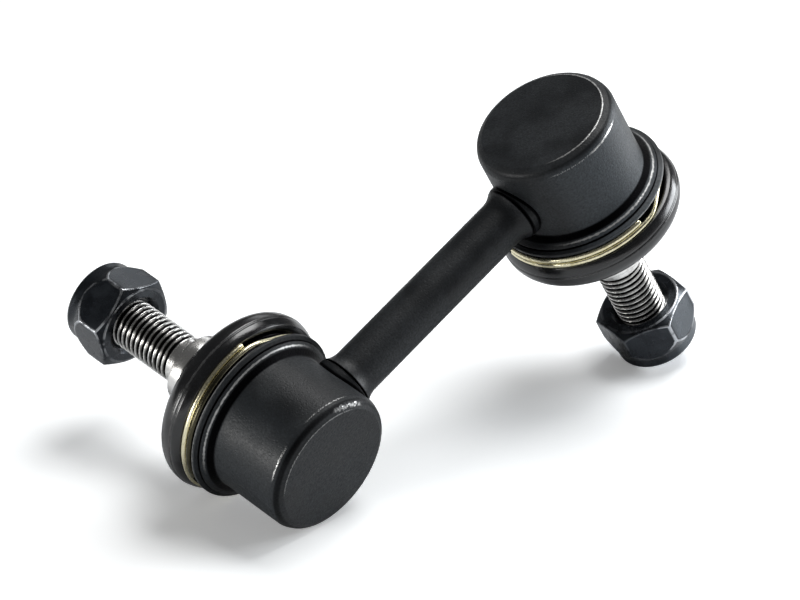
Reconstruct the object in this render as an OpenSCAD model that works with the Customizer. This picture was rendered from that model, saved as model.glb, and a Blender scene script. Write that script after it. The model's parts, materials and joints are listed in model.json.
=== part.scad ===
// Stabilizer link: a short bar with a ball joint at each end.
// Each end is drawn about its own ball centre, with +Z along the stud, and is then put in place.
// The whole link lies on Z = 0 the way it rests on a bench: on cap and boot of end A and on nut B.

/* [Link] */
// Distance between the two ball centres
pivot_span = 77; // [65:1:140]
// Angle between the two studs, seen along the bar
stud_twist = 105; // [70:5:160]
// Diameter of the bar
bar_d = 9.8; // [7:0.1:11]
// Length of the upset stretch of the bar beside each housing
upset_l = 3.2; // [1.5:0.1:6]
// How far the upset stretch stands proud of the bar
upset_proud = 1.1; // [0.4:0.1:1.4]
// Width of the weld collar outside the housing wall
collar_w = 0.55; // [0.3:0.05:1.2]
// Width of the line between weld collar and bar
collar_line_w = 0.4; // [0.1:0.05:0.6]
// Depth of the line between weld collar and bar
collar_line_depth = 0.5; // [0.1:0.05:0.8]

/* [Ball and seat] */
// Diameter of the ball
ball_d = 16; // [14:0.5:19]
// Largest swing of the stud to each side
stud_swing = 25; // [15:1:27]
// Wall of the plastic seat at the ball's equator
seat_wall = 2.9; // [1.5:0.1:4]
// Thickness of the seat below the ball
seat_floor = 1; // [0.6:0.1:2]
// Height of the seat above the ball centre
seat_rise = 4.6; // [3.6:0.1:5]
// Width of the grease slots in the seat
slot_w = 1.2; // [0.6:0.1:2]
// Depth of the grease slots into the seat
slot_depth = 1; // [0.4:0.1:1.2]
// Number of grease slots
slot_count = 6; // [3:1:8]

/* [Housing] */
// Wall of the housing round the seat
housing_wall = 3.35; // [2.5:0.05:5]
// Thickness of the closed end
cap_t = 2.2; // [1.5:0.1:4]
// Width of the bevel on the closed end, seen from the end
bevel_w = 1.9; // [0.5:0.1:2.5]
// Height of that bevel
bevel_h = 2.1; // [0.5:0.1:3]
// Height above the ball centre at which the wall flares out to its flange
flare_z = 5.7; // [5.2:0.1:6]
// Height of the flare up to the front edge of the flange
flare_h = 1.15; // [0.5:0.05:2]
// How far the front edge of the flange stands out from the wall
flare_proud = 1.7; // [0.8:0.05:2.5]
// Height of the slope from the front edge to the rim of the flange
flange_slope_h = 1.1; // [0.5:0.05:2]
// How far the rim of the flange stands out from the wall
flange_proud = 3.15; // [2.6:0.05:4]
// Depth of the groove between the front edge and the rim of the flange
groove_depth = 0.2; // [0.1:0.05:0.4]
// Thickness of the rim of the flange
flange_rim_h = 0.65; // [0.3:0.05:1.5]
// How far the seat of the boot stands out from the wall
boot_seat_proud = 0.2; // [0:0.05:0.5]
// Height of the seat of the boot
boot_seat_h = 3; // [2.6:0.1:4]
// How far the bead above the boot seat stands out from that seat
mouth_bead_proud = 0.55; // [0.2:0.05:0.8]
// Height of that bead
mouth_bead_h = 0.7; // [0.4:0.05:1.2]
// Wall of the open mouth inside the boot seat
mouth_wall = 2.25; // [1.6:0.05:3]

/* [Seat retainer] */
// Height of the steel ring that holds the seat down
retainer_h = 2.4; // [1.4:0.1:2.6]
// How far the ring reaches out past the seat
retainer_rim = 1.1; // [0.6:0.1:1.4]
// Height of the lip rolled over the ring
lip_h = 1.2; // [0.6:0.1:1.4]
// How far the rolled lip reaches in over the ring
lip_reach = 1.3; // [0.6:0.1:1.6]

/* [Stud] */
// Diameter of the neck above the ball
neck_d = 8.4; // [7:0.1:9]
// Diameter of the land that the boot seals on
land_d = 10.4; // [9.2:0.1:12]
// Length of the cone from neck to land
land_cone_h = 1.2; // [0.6:0.1:2]
// Diameter of the round collar that a bracket seats on
shoulder_d = 14.5; // [13:0.1:18]
// Thickness of that collar
shoulder_h = 2.8; // [2:0.1:4]
// Bevel on both edges of that collar
shoulder_bevel = 0.3; // [0.1:0.05:0.6]
// Outer diameter of the thread, which the bracket hole goes over
thread_d = 10; // [8:0.5:11]
// Length from the collar to the end of the thread
thread_l = 25.6; // [24:0.1:40]
// How much less the thread measures across inside the nut
thread_relief = 0.1; // [0.05:0.05:0.2]
// Length of the slope into that stretch
relief_slope_h = 0.8; // [0.6:0.1:1.2]
// Bevel at the end of the thread
thread_bevel = 1; // [0.5:0.1:1.5]
// Width across flats of the key socket in the end of the thread
key_af = 5; // [3:0.5:5.5]
// Depth of the key socket
key_depth = 4.5; // [2:0.1:6]

/* [Dust boot] */
// Height above the ball centre of the middle of the bulge
bulge_z = 14; // [13.6:0.1:15]
// Radius from the stud's axis to the middle of the bulge
bulge_r = 14.6; // [13.8:0.1:15]
// Radius of the bulge itself
bulge_round = 4; // [3.6:0.1:4.4]
// Wall of the rubber
boot_wall = 1.7; // [1:0.1:1.9]
// Slope of the boot's upper side, from straight out
boot_slope = 32.7; // [31:0.1:34]
// Outer diameter of the boot's neck
boot_neck_d = 16.6; // [15.6:0.1:18]
// Height of the boot's neck round the stud
boot_neck_h = 2.7; // [2.2:0.1:3.4]
// Bevel on the top edge of the neck
boot_neck_bevel = 0.7; // [0.2:0.1:1]
// Wall of the ring inside the boot's neck
neck_ring_wall = 1.1; // [0.6:0.1:1.4]
// Height of that ring
neck_ring_h = 1.5; // [0.8:0.1:1.8]

/* [Boot clip] */
// Diameter of the spring wire
clip_wire_d = 1.1; // [0.8:0.05:1.15]
// Turns of the spring wire
clip_turns = 1.28; // [1:0.01:1.3]
// Rise of the wire in one turn
clip_pitch = 1.3; // [1.15:0.01:1.35]
// How far both ends of the wire spring out where they lie side by side
clip_spring = 0.9; // [0:0.05:1.4]
// Rubber between boot seat and wire
clip_bed = 1.3; // [1.1:0.05:1.8]
// Where the wire on end A starts, as an angle about the stud
clip_a_start = 181; // [0:1:360]
// Where the wire on end B starts, as an angle about the stud
clip_b_start = 91; // [0:1:360]

/* [Nut] */
// Width across flats
nut_af = 17; // [15:0.5:19]
// Height of the hexagon
hex_h = 8.4; // [6.5:0.1:10]
// Outer diameter of the round collar above the hexagon
nut_collar_d = 16.8; // [15:0.1:16.9]
// Height of that collar
nut_collar_h = 2.6; // [2.4:0.1:4]
// Rounding of the top edge of the collar
nut_collar_round = 1.3; // [0.6:0.1:1.4]
// Slope of the bevels on the corners of the hexagon, at its bearing face
corner_slope = 30; // [15:1:40]
// Slope of the bevels on the corners at the round collar
crown_slope = 64; // [30:1:70]
// Diameter of the flat bearing face inside the bevels
bearing_d = 16; // [13:0.1:16.5]
// Width of the countersink round the bore
nut_sink = 1.2; // [0.2:0.1:1.6]
// Wall of the nylon ring in the collar
insert_wall = 1.5; // [1:0.1:1.6]
// Height of the nylon ring
insert_h = 1.9; // [1.2:0.1:2]
// Distance from the stud's collar to the nut on end A
nut_a_up = 17; // [6:0.1:17]
// Distance from the stud's collar to the nut on end B
nut_b_up = 14.8; // [6:0.1:17]
// Turn of the hexagons about the studs
nut_turn = 38.5; // [0:0.5:60]

/* [Hidden] */
$fn = 96;

// Clearances: a press fit or weld, a running fit, soft rubber, and the free way past the stud
fit_gap = 0.02;
run_gap = 0.05;
rubber_gap = 0.1;
swing_gap = 0.3;
// Every cut runs past the solid by this much
overrun = 1;

ball_r = ball_d / 2;
socket_r = ball_r + seat_wall;
housing_r = socket_r + housing_wall;
cap_depth = ball_r + seat_floor + cap_t;

// Heights up the mouth of the housing, from the ball centre
edge_z = flare_z + flare_h;
rim_z = edge_z + flange_slope_h;
boot_seat_z = rim_z + flange_rim_h;
bead_z = boot_seat_z + boot_seat_h;
mouth_z = bead_z + mouth_bead_h;
retainer_z = seat_rise + retainer_h;
lip_z = retainer_z + lip_h;
boot_seat_r = housing_r + boot_seat_proud;
// Back of the ridge behind the front edge of the flange, where the groove starts
ridge_share = 0.4;
ridge_r = housing_r + flare_proud + (flange_proud - flare_proud) * ridge_share;
ridge_z = edge_z + flange_slope_h * ridge_share;
mouth_r = boot_seat_r - mouth_wall;
retainer_r = socket_r + retainer_rim;

// Heights up the stud. The boot slopes from its bulge to its neck, and the stud's collar sits on the neck
slope_start_r = bulge_r + bulge_round * sin(boot_slope);
slope_start_z = bulge_z + bulge_round * cos(boot_slope);
neck_z = slope_start_z + (slope_start_r - boot_neck_d / 2) * tan(boot_slope);
neck_top_z = neck_z + boot_neck_bevel + rubber_gap;
neck_foot_z = neck_top_z - boot_neck_h;
shoulder_z = neck_top_z + rubber_gap;
seat_face_z = shoulder_z + shoulder_h;
land_z = neck_foot_z - land_cone_h;
stud_end_z = seat_face_z + thread_l;
nut_a_z = seat_face_z + nut_a_up;
nut_b_z = seat_face_z + nut_b_up;
thread_r = thread_d / 2;
nut_bore_r = thread_r + run_gap;
nut_collar_r = nut_collar_d / 2;
neck_ring_r = land_d / 2 + rubber_gap + neck_ring_wall;
// The wire is drawn in straight steps, so their middles are what clears the rubber
clip_steps = 36;
clip_r = (boot_seat_r + clip_bed) / cos(180 / clip_steps) + clip_wire_d / 2;
clip_z = boot_seat_z + rubber_gap + clip_wire_d / 2;
// Degrees over which the wire goes from tight to sprung out, and how long before the overlap that ends
clip_bend = 25;
clip_early = 7;
// Smooth change from 0 to 1 while v goes from one value to another
function ease(v, from, to) = let (t = min(max((v - from) / (to - from), 0), 1)) t * t * (3 - 2 * t);
// How far the wire is sprung out, from 0 to 1, this many degrees from its start
function sprung(a) = let (overlap = 360 * (clip_turns - 1), out = 360 - clip_early)
    1 - ease(a, overlap, overlap + clip_bend) + ease(a, out - clip_bend, out);

// Radius, at a height above the ball centre, that the swinging neck never reaches
function swing_r(z) = z * tan(stud_swing) + neck_d / 2 / cos(stud_swing) + swing_gap;

// How the link lies. End A rests on the bevel edge of its cap and on its boot: this leans the studs
rest_reach = cap_depth - bevel_h + bulge_z;
rest_step = bulge_r - housing_r;
lean = asin(bulge_round / norm([rest_reach, rest_step])) + atan2(rest_step, rest_reach);
up_z = -sin(lean);
stud_b_dir = [0, -sin(stud_twist), -cos(stud_twist)];
nut_top_z = nut_b_z + hex_h + nut_collar_h;

// The direction that is up, in the link's own frame, for a bar that climbs with this sine
function up(climb) = [climb, sqrt(1 - climb * climb - up_z * up_z), up_z];
// Lowest height of a round edge: a circle about an axis, thickened by a rounding
function low(centre, axis, r, rounding, way) =
    centre * way - r * sqrt(1 - pow(axis * way, 2)) - rounding;
function cap_low(way) =
    low([-pivot_span / 2, 0, cap_depth - bevel_h], [0, 0, 1], housing_r, 0, way);
function nut_low(way) =
    low([pivot_span / 2, 0, 0] + stud_b_dir * (nut_top_z - nut_collar_round), stud_b_dir,
        nut_collar_r - nut_collar_round, nut_collar_round, way);
// The climb at which nut B just touches the plane that end A lies on, found by halving
function climb_at(a, b, steps) = let (m = (a + b) / 2)
    steps == 0 ? m
    : nut_low(up(m)) > cap_low(up(m)) ? climb_at(a, m, steps - 1)
    : climb_at(m, b, steps - 1);
climb = climb_at(0, 0.9, 40);
up_way = up(climb);
bar_pitch = asin(climb);
bar_roll = atan2(up_way[1], up_way[2]);

// The three directions of the finished frame, seen from the link's own frame
z_way = up_way;
x_way = ([1, 0, 0] - climb * up_way) / cos(bar_pitch);
y_way = cross(z_way, x_way);
// Round edges that the outer box can rest on: [height along the stud, radius, rounding]
function edges(nut_z) = [[-cap_depth, housing_r - bevel_w, 0], [bevel_h - cap_depth, housing_r, 0],
    [rim_z, housing_r + flange_proud, 0], [bulge_z, bulge_r, bulge_round],
    [nut_z + hex_h / 2, nut_af / 2 / cos(30), 0],
    [nut_z + hex_h + nut_collar_h - nut_collar_round, nut_collar_r - nut_collar_round,
    nut_collar_round]];
function low_of(way) = min(min([for (e = edges(nut_a_z))
        low([-pivot_span / 2, 0, -e[0]], [0, 0, 1], e[1], e[2], way)]),
    min([for (e = edges(nut_b_z))
        low([pivot_span / 2, 0, 0] + stud_b_dir * e[0], stud_b_dir, e[1], e[2], way)]));
// Middle of the outer box in X and Y, and its floor in Z
middle = [(low_of(x_way) - low_of(-x_way)) / 2, (low_of(y_way) - low_of(-y_way)) / 2,
    low_of(z_way)];

// Points on an arc, from one angle to another
function arc(x, y, r, from, to, steps) =
    [for (i = [0:steps]) let (a = from + (to - from) * i / steps) [x + r * cos(a), y + r * sin(a)]];

// Puts what is drawn in the link's own frame down on the bench
module lying() {
    translate(-middle) rotate([0, -bar_pitch, 0]) rotate([bar_roll, 0, 0]) children();
}

// Puts what is drawn about a ball centre at end A or at end B
module at_a() { lying() translate([-pivot_span / 2, 0, 0]) rotate([180, 0, 0]) children(); }
module at_b() { lying() translate([pivot_span / 2, 0, 0]) rotate([180 - stud_twist, 0, 0]) children(); }

// Outer form of a housing: cap, bevel, wall, flare, flange, boot seat and bead, with no inside
module housing_form() {
    rotate_extrude() polygon([
        [0, -cap_depth], [housing_r - bevel_w, -cap_depth], [housing_r, bevel_h - cap_depth],
        [housing_r, flare_z], [housing_r + flare_proud, edge_z], [ridge_r, ridge_z],
        [ridge_r - groove_depth, (ridge_z + rim_z) / 2], [housing_r + flange_proud, rim_z],
        [housing_r + flange_proud, boot_seat_z], [boot_seat_r, boot_seat_z], [boot_seat_r, bead_z],
        [boot_seat_r + mouth_bead_proud, bead_z + mouth_bead_h / 3],
        [boot_seat_r + mouth_bead_proud, mouth_z - mouth_bead_h / 3], [boot_seat_r, mouth_z],
        [0, mouth_z]]);
}

module housing() {
    color([0.13, 0.13, 0.14]) difference() {
        housing_form();
        translate([0, 0, cap_t - cap_depth])
            cylinder(r = socket_r, h = cap_depth - cap_t + seat_rise + overrun);
        translate([0, 0, seat_rise]) cylinder(r = retainer_r, h = retainer_h);
        translate([0, 0, retainer_z])
            cylinder(r1 = retainer_r - lip_reach, r2 = retainer_r - lip_reach / 2, h = lip_h);
        translate([0, 0, lip_z]) cylinder(r = mouth_r, h = mouth_z - lip_z + overrun);
    }
}

// Plastic cup that wraps the ball past its equator, with grease slots
module ball_seat() {
    color([0.85, 0.83, 0.76]) difference() {
        translate([0, 0, -ball_r - seat_floor]) cylinder(r = socket_r - fit_gap,
            h = ball_r + seat_floor + seat_rise - fit_gap);
        sphere(r = ball_r + run_gap);
        cylinder(r1 = swing_r(0), r2 = swing_r(seat_rise + overrun), h = seat_rise + overrun);
        for (i = [0:slot_count - 1]) rotate([0, 0, 360 * i / slot_count])
            translate([0, -slot_w / 2, -ball_r / 4])
                cube([ball_r + slot_depth, slot_w, seat_rise + ball_r]);
    }
}

// Steel ring under the rolled lip, bored to a cone that the swinging neck clears
module seat_retainer() {
    color([0.55, 0.55, 0.57]) rotate_extrude() polygon([
        [swing_r(seat_rise), seat_rise + fit_gap], [retainer_r - fit_gap, seat_rise + fit_gap],
        [retainer_r - fit_gap, retainer_z - fit_gap], [swing_r(retainer_z), retainer_z - fit_gap]]);
}

module ball() { color([0.72, 0.72, 0.74]) sphere(r = ball_r); }

// Ball stud: neck, sealing land, round collar and thread, with a key socket in its end
module stud(nut_z) {
    color([0.74, 0.73, 0.71]) difference() {
        rotate_extrude() polygon([
            [0, ball_r / 2], [neck_d / 2, ball_r / 2], [neck_d / 2, land_z],
            [land_d / 2, neck_foot_z], [land_d / 2, shoulder_z],
            [shoulder_d / 2 - shoulder_bevel, shoulder_z],
            [shoulder_d / 2, shoulder_z + shoulder_bevel],
            [shoulder_d / 2, seat_face_z - shoulder_bevel],
            [shoulder_d / 2 - shoulder_bevel, seat_face_z], [thread_r, seat_face_z],
            [thread_r, nut_z - relief_slope_h], [thread_r - thread_relief / 2, nut_z],
            [thread_r - thread_relief / 2, stud_end_z - thread_bevel],
            [thread_r - thread_relief / 2 - thread_bevel, stud_end_z], [0, stud_end_z]]);
        sphere(r = ball_r + run_gap);
        translate([0, 0, stud_end_z - key_depth])
            cylinder(r = key_af / 2 / cos(30), h = key_depth + overrun, $fn = 6);
    }
}

// Rubber boot: a bead on the housing, a round bulge and a straight slope up to the neck
module dust_boot() {
    shoulder_a = -asin((bulge_z - bead_z - rubber_gap) / bulge_round);
    inner_round = bulge_round - boot_wall;
    inner_start_a = -asin((bulge_z - mouth_z - rubber_gap - swing_gap) / inner_round);
    slope_a = 90 - boot_slope;
    inner_r = bulge_r + inner_round * sin(boot_slope);
    inner_z = bulge_z + inner_round * cos(boot_slope);
    inner_neck_r = inner_r - (neck_foot_z - inner_z) / tan(boot_slope);
    groove_z = neck_foot_z + (boot_neck_h - neck_ring_h) / 2;
    color([0.07, 0.07, 0.08]) rotate_extrude() polygon(concat(
        [[boot_seat_r + rubber_gap, boot_seat_z + rubber_gap],
            [boot_seat_r + clip_bed, boot_seat_z + rubber_gap],
            [boot_seat_r + clip_bed, bead_z + rubber_gap]],
        arc(bulge_r, bulge_z, bulge_round, shoulder_a, slope_a, 14),
        [[boot_neck_d / 2, neck_z], [boot_neck_d / 2 - boot_neck_bevel, neck_top_z],
            [land_d / 2 + rubber_gap, neck_top_z],
            [land_d / 2 + rubber_gap, groove_z + neck_ring_h + rubber_gap],
            [neck_ring_r + rubber_gap, groove_z + neck_ring_h + rubber_gap],
            [neck_ring_r + rubber_gap, groove_z - rubber_gap],
            [land_d / 2 + rubber_gap, groove_z - rubber_gap],
            [land_d / 2 + rubber_gap, neck_foot_z], [inner_neck_r, neck_foot_z]],
        arc(bulge_r, bulge_z, inner_round, slope_a, inner_start_a, 10),
        [[boot_seat_r + mouth_bead_proud + rubber_gap, mouth_z + rubber_gap],
            [boot_seat_r + mouth_bead_proud + rubber_gap, bead_z],
            [boot_seat_r + rubber_gap, bead_z]]));
}

// Ring moulded into the boot's neck, which the stud turns in
module boot_neck_ring() {
    color([0.3, 0.3, 0.32]) translate([0, 0, neck_foot_z + (boot_neck_h - neck_ring_h) / 2])
        difference() {
            cylinder(r = neck_ring_r, h = neck_ring_h);
            translate([0, 0, -overrun])
                cylinder(r = land_d / 2 + run_gap, h = neck_ring_h + 2 * overrun);
        }
}

// Spring wire wound round the boot, swept along its helix
module boot_clip() {
    rings = floor(clip_steps * clip_turns);
    sides = 8;
    points = [for (i = [0:rings]) let (a = 360 * i / clip_steps)
        let (middle_r = clip_r + clip_spring * sprung(a), rise = clip_pitch * a / 360 * sprung(a))
        for (s = [0:sides - 1]) let (b = 360 * s / sides, r = middle_r + clip_wire_d / 2 * cos(b))
            [r * cos(a), r * sin(a), clip_z + rise + clip_wire_d / 2 * sin(b)]];
    walls = [for (i = [0:rings - 1]) for (s = [0:sides - 1]) let (n = (s + 1) % sides)
        for (face = [[i * sides + s, (i + 1) * sides + n, (i + 1) * sides + s],
            [i * sides + s, i * sides + n, (i + 1) * sides + n]]) face];
    ends = [[for (s = [sides - 1:-1:0]) s], [for (s = [0:sides - 1]) rings * sides + s]];
    color([0.83, 0.72, 0.36]) polyhedron(points, concat(walls, ends));
}

// Self-locking nut: a hexagon with beveled corners and a round collar that holds the nylon ring
module nut() {
    corner_r = nut_af / 2 / cos(30);
    // The hexagon's cones run on into the collar, which hides their ends
    buried_h = hex_h + overrun;
    top = hex_h + nut_collar_h;
    insert_z = top - insert_h - nut_collar_h / 5;
    color([0.15, 0.16, 0.17]) difference() {
        union() {
            rotate([0, 0, nut_turn]) intersection() {
                cylinder(r = corner_r, h = buried_h, $fn = 6);
                cylinder(r1 = bearing_d / 2, r2 = bearing_d / 2 + buried_h / tan(corner_slope),
                    h = buried_h);
                cylinder(r1 = nut_collar_r + hex_h / tan(crown_slope),
                    r2 = nut_collar_r - overrun / tan(crown_slope), h = buried_h);
            }
            rotate_extrude() polygon(concat([[0, hex_h / 2], [nut_collar_r, hex_h / 2]],
                arc(nut_collar_r - nut_collar_round, top - nut_collar_round, nut_collar_round, 0, 90, 8),
                [[0, top]]));
        }
        translate([0, 0, -overrun]) cylinder(r = nut_bore_r, h = top + 2 * overrun);
        translate([0, 0, -overrun]) cylinder(r1 = nut_bore_r + nut_sink + overrun,
            r2 = nut_bore_r - overrun, h = nut_sink + 2 * overrun);
        translate([0, 0, insert_z]) cylinder(r = nut_bore_r + insert_wall, h = insert_h);
        translate([0, 0, insert_z]) cylinder(r = nut_bore_r + insert_wall / 2, h = top);
    }
}

// Nylon ring crimped into the collar of the nut
module nut_insert() {
    color([0.16, 0.25, 0.5])
        translate([0, 0, hex_h + nut_collar_h - insert_h - nut_collar_h / 5 + fit_gap]) difference() {
            cylinder(r = nut_bore_r + insert_wall - fit_gap, h = insert_h - 2 * fit_gap);
            translate([0, 0, -overrun]) cylinder(r = nut_bore_r, h = insert_h + 2 * overrun);
        }
}

// Bar between the housings, upset and welded on at both ends with a collar
module bar_end() {
    upset_r = bar_d / 2 + upset_proud;
    rotate([0, 90, 0]) rotate_extrude() polygon([
        [0, 0], [upset_r, 0], [upset_r, housing_r + collar_w],
        [upset_r - collar_line_depth, housing_r + collar_w + collar_line_w / 2],
        [upset_r - collar_line_w / 2, housing_r + collar_w + collar_line_w],
        [bar_d / 2 + upset_proud * 0.35, housing_r + collar_w + upset_l * 0.45],
        [bar_d / 2, housing_r + collar_w + upset_l], [bar_d / 2, pivot_span / 2],
        [0, pivot_span / 2]]);
}

module link_rod() {
    color([0.13, 0.13, 0.14]) lying() difference() {
        union() {
            translate([-pivot_span / 2, 0, 0]) bar_end();
            translate([pivot_span / 2, 0, 0]) rotate([0, 0, 180]) bar_end();
        }
        translate([-pivot_span / 2, 0, 0]) rotate([180, 0, 0]) housing_form();
        translate([pivot_span / 2, 0, 0]) rotate([180 - stud_twist, 0, 0]) housing_form();
    }
}

module housing_a() { at_a() housing(); }
module ball_seat_a() { at_a() ball_seat(); }
module seat_retainer_a() { at_a() seat_retainer(); }
module ball_a() { at_a() ball(); }
module stud_a() { at_a() stud(nut_a_z); }
module dust_boot_a() { at_a() dust_boot(); }
module boot_clip_a() { at_a() rotate([0, 0, clip_a_start]) boot_clip(); }
module boot_neck_ring_a() { at_a() boot_neck_ring(); }
module nut_a() { at_a() translate([0, 0, nut_a_z]) nut(); }
module nut_insert_a() { at_a() translate([0, 0, nut_a_z]) nut_insert(); }
module housing_b() { at_b() housing(); }
module ball_seat_b() { at_b() ball_seat(); }
module seat_retainer_b() { at_b() seat_retainer(); }
module ball_b() { at_b() ball(); }
module stud_b() { at_b() stud(nut_b_z); }
module dust_boot_b() { at_b() dust_boot(); }
module boot_clip_b() { at_b() rotate([0, 0, clip_b_start]) boot_clip(); }
module boot_neck_ring_b() { at_b() boot_neck_ring(); }
module nut_b() { at_b() translate([0, 0, nut_b_z]) nut(); }
module nut_insert_b() { at_b() translate([0, 0, nut_b_z]) nut_insert(); }

link_rod();
housing_a();
ball_seat_a();
seat_retainer_a();
ball_a();
stud_a();
dust_boot_a();
boot_clip_a();
boot_neck_ring_a();
nut_a();
nut_insert_a();
housing_b();
ball_seat_b();
seat_retainer_b();
ball_b();
stud_b();
dust_boot_b();
boot_clip_b();
boot_neck_ring_b();
nut_b();
nut_insert_b();
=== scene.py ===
import json
import math

import bmesh
import bpy
from mathutils import Matrix, Vector


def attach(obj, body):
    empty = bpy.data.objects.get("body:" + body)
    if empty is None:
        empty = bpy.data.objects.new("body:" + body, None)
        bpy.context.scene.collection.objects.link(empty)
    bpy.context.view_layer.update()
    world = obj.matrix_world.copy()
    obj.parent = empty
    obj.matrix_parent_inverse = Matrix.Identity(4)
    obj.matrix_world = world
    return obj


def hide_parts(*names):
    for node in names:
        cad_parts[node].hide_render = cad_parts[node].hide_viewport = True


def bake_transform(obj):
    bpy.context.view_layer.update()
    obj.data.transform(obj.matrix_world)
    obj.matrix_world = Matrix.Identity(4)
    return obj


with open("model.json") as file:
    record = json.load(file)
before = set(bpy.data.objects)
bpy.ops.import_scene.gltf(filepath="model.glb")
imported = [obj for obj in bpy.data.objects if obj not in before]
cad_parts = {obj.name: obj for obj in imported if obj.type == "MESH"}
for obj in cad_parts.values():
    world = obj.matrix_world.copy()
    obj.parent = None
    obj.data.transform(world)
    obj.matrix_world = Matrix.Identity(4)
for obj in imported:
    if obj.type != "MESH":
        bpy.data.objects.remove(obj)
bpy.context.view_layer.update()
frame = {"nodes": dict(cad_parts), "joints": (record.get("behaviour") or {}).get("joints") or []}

mm = 0.001
scene = bpy.context.scene
scene.view_settings.view_transform = "Standard"
joints = {j["name"]: j for j in frame["joints"]}
print("frame loaded:", len(frame["nodes"]), "nodes")

# An outline is a list of (radius, height, rounding) about the axis of its piece. Sizes of pieces are in mm.
# An end's own space has its ball centre at zero and +Z along the stud, away from the cap.


def endSpace(end):
    turn, swing = joints[f"stud_{end}_turn"], joints[f"stud_{end}_swing"]
    z, x = Vector(turn["axis"]).normalized(), Vector(swing["axis"]).normalized()
    space = Matrix((x, z.cross(x), z)).transposed().to_4x4()
    space.translation = Vector(turn["pos_m"])
    return space


def barSpace():
    # zero is halfway between the ball centres and +Z runs from end A to end B
    a, b = (endSpace(end).translation for end in "ab")
    z = (b - a).normalized()
    x = endSpace("a").to_3x3().col[2]
    space = Matrix((x, z.cross(x), z)).transposed().to_4x4()
    space.translation = (a + b) / 2
    return space


# Modelling helpers

bevelSteps, weldDist, flatDist = 5, 0.001, 0.0001


def drawOutline(bm, points, closed=False):
    verts = [bm.verts.new((r * mm, 0, h * mm)) for r, h, *_ in points]
    for a, b in zip(verts, verts[1:] + verts[:1] if closed else verts[1:]):
        bm.edges.new((a, b))
    corners = {}
    for vert, point in zip(verts, points):
        if len(point) > 2:
            corners.setdefault(point[2], []).append(vert)
    for rounding, group in corners.items():
        bmesh.ops.bevel(bm, geom=group, offset=rounding * mm, offset_type="OFFSET", affect="VERTICES",
                        segments=bevelSteps, profile=0.5, material=-1)


def arcPoints(x, y, r, start, end, steps):
    angles = [math.radians(start + (end - start) * n / steps) for n in range(steps + 1)]
    return [(x + r * math.cos(a), y + r * math.sin(a)) for a in angles]


def closeUp(bm):
    bmesh.ops.remove_doubles(bm, verts=bm.verts, dist=weldDist * mm)
    bmesh.ops.dissolve_degenerate(bm, dist=flatDist * mm, edges=bm.edges)
    bmesh.ops.recalc_face_normals(bm, faces=bm.faces)


def spinOutline(points, closed=False, steps=96):
    bm = bmesh.new()
    drawOutline(bm, points, closed)
    bmesh.ops.spin(bm, geom=bm.verts[:] + bm.edges[:], cent=(0, 0, 0), axis=(0, 0, 1), angle=math.tau,
                   steps=steps, use_merge=True)
    closeUp(bm)
    return bm


def growRings(bm, edges, rings):
    # extrudes a loop of edges through rings; a ring gives (radius, height) for the angle of each point
    loops = []
    for ring in rings:
        made = bmesh.ops.extrude_edge_only(bm, edges=edges)["geom"]
        verts = {g for g in made if isinstance(g, bmesh.types.BMVert)}
        edges = [g for g in made if isinstance(g, bmesh.types.BMEdge) and set(g.verts) <= verts]
        for v in verts:
            angle = math.atan2(v.co.y, v.co.x)
            r, h = ring(angle)
            v.co = (r * mm * math.cos(angle), r * mm * math.sin(angle), h * mm)
        loops.append((verts, edges))
    return loops


def hexReach(angle, acrossFlats):
    return acrossFlats / 2 / math.cos(angle % (math.tau / 6) - math.tau / 12)


def keepPiece(name, bm, space, material, body, nodes, sharp=35):
    mesh = bpy.data.meshes.new(name)
    bm.to_mesh(mesh)
    bm.free()
    # each point's place in the piece's own space, in mm, for the materials
    place = mesh.attributes.new("ownPlace", "FLOAT_VECTOR", "POINT")
    place.data.foreach_set("vector", [c / mm for v in mesh.vertices for c in v.co])
    mesh.transform(space)
    mesh.shade_smooth()
    mesh.set_sharp_from_angle(angle=math.radians(sharp))
    mesh.materials.append(material)
    piece = bpy.data.objects.new(name, mesh)
    scene.collection.objects.link(piece)
    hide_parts(*nodes)
    if body:
        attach(piece, body)
    return piece


# Shader helpers

def fill(tree, made, sockets):
    for key, value in sockets.items():
        if isinstance(value, bpy.types.NodeSocket):
            tree.links.new(value, made.inputs[key])
        else:
            made.inputs[key].default_value = value
    return made


def addNode(tree, kind, sockets, **settings):
    made = tree.nodes.new("ShaderNode" + kind)
    for key, value in settings.items():
        setattr(made, key, value)
    return fill(tree, made, sockets)


def calc(tree, operation, *values, clamp=False):
    return addNode(tree, "Math", dict(enumerate(values)), operation=operation, use_clamp=clamp).outputs[0]


def plus(tree, a, b):
    return calc(tree, "ADD", a, b)


def minus(tree, a, b):
    return calc(tree, "SUBTRACT", a, b)


def times(tree, a, b):
    return calc(tree, "MULTIPLY", a, b)


def cosOf(tree, degrees):
    return calc(tree, "COSINE", calc(tree, "RADIANS", degrees))


def strongest(tree, masks):
    top = 0.0
    for mask in masks:
        top = calc(tree, "MAXIMUM", top, mask)
    return top


def softened(tree, mask, share):
    # a mask that never falls below 1 - share
    return plus(tree, times(tree, mask, share), 1 - share)


def calcVector(tree, operation, *values):
    return addNode(tree, "VectorMath", dict(enumerate(values)), operation=operation)


def blendColors(tree, factor, a, b):
    made = addNode(tree, "Mix", {}, data_type="RGBA")
    return fill(tree, made, {0: factor, 6: a, 7: b}).outputs[2]


def remap(tree, value, low, high, outLow=0.0, outHigh=1.0):
    sockets = {0: value, 1: low, 2: high, 3: outLow, 4: outHigh}
    return addNode(tree, "MapRange", sockets, interpolation_type="SMOOTHSTEP").outputs[0]


def noise(tree, place, scale, detail, rough=0.5):
    sockets = {"Vector": place, "Scale": scale, "Detail": detail, "Roughness": rough}
    return addNode(tree, "TexNoise", sockets).outputs[0]


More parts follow.
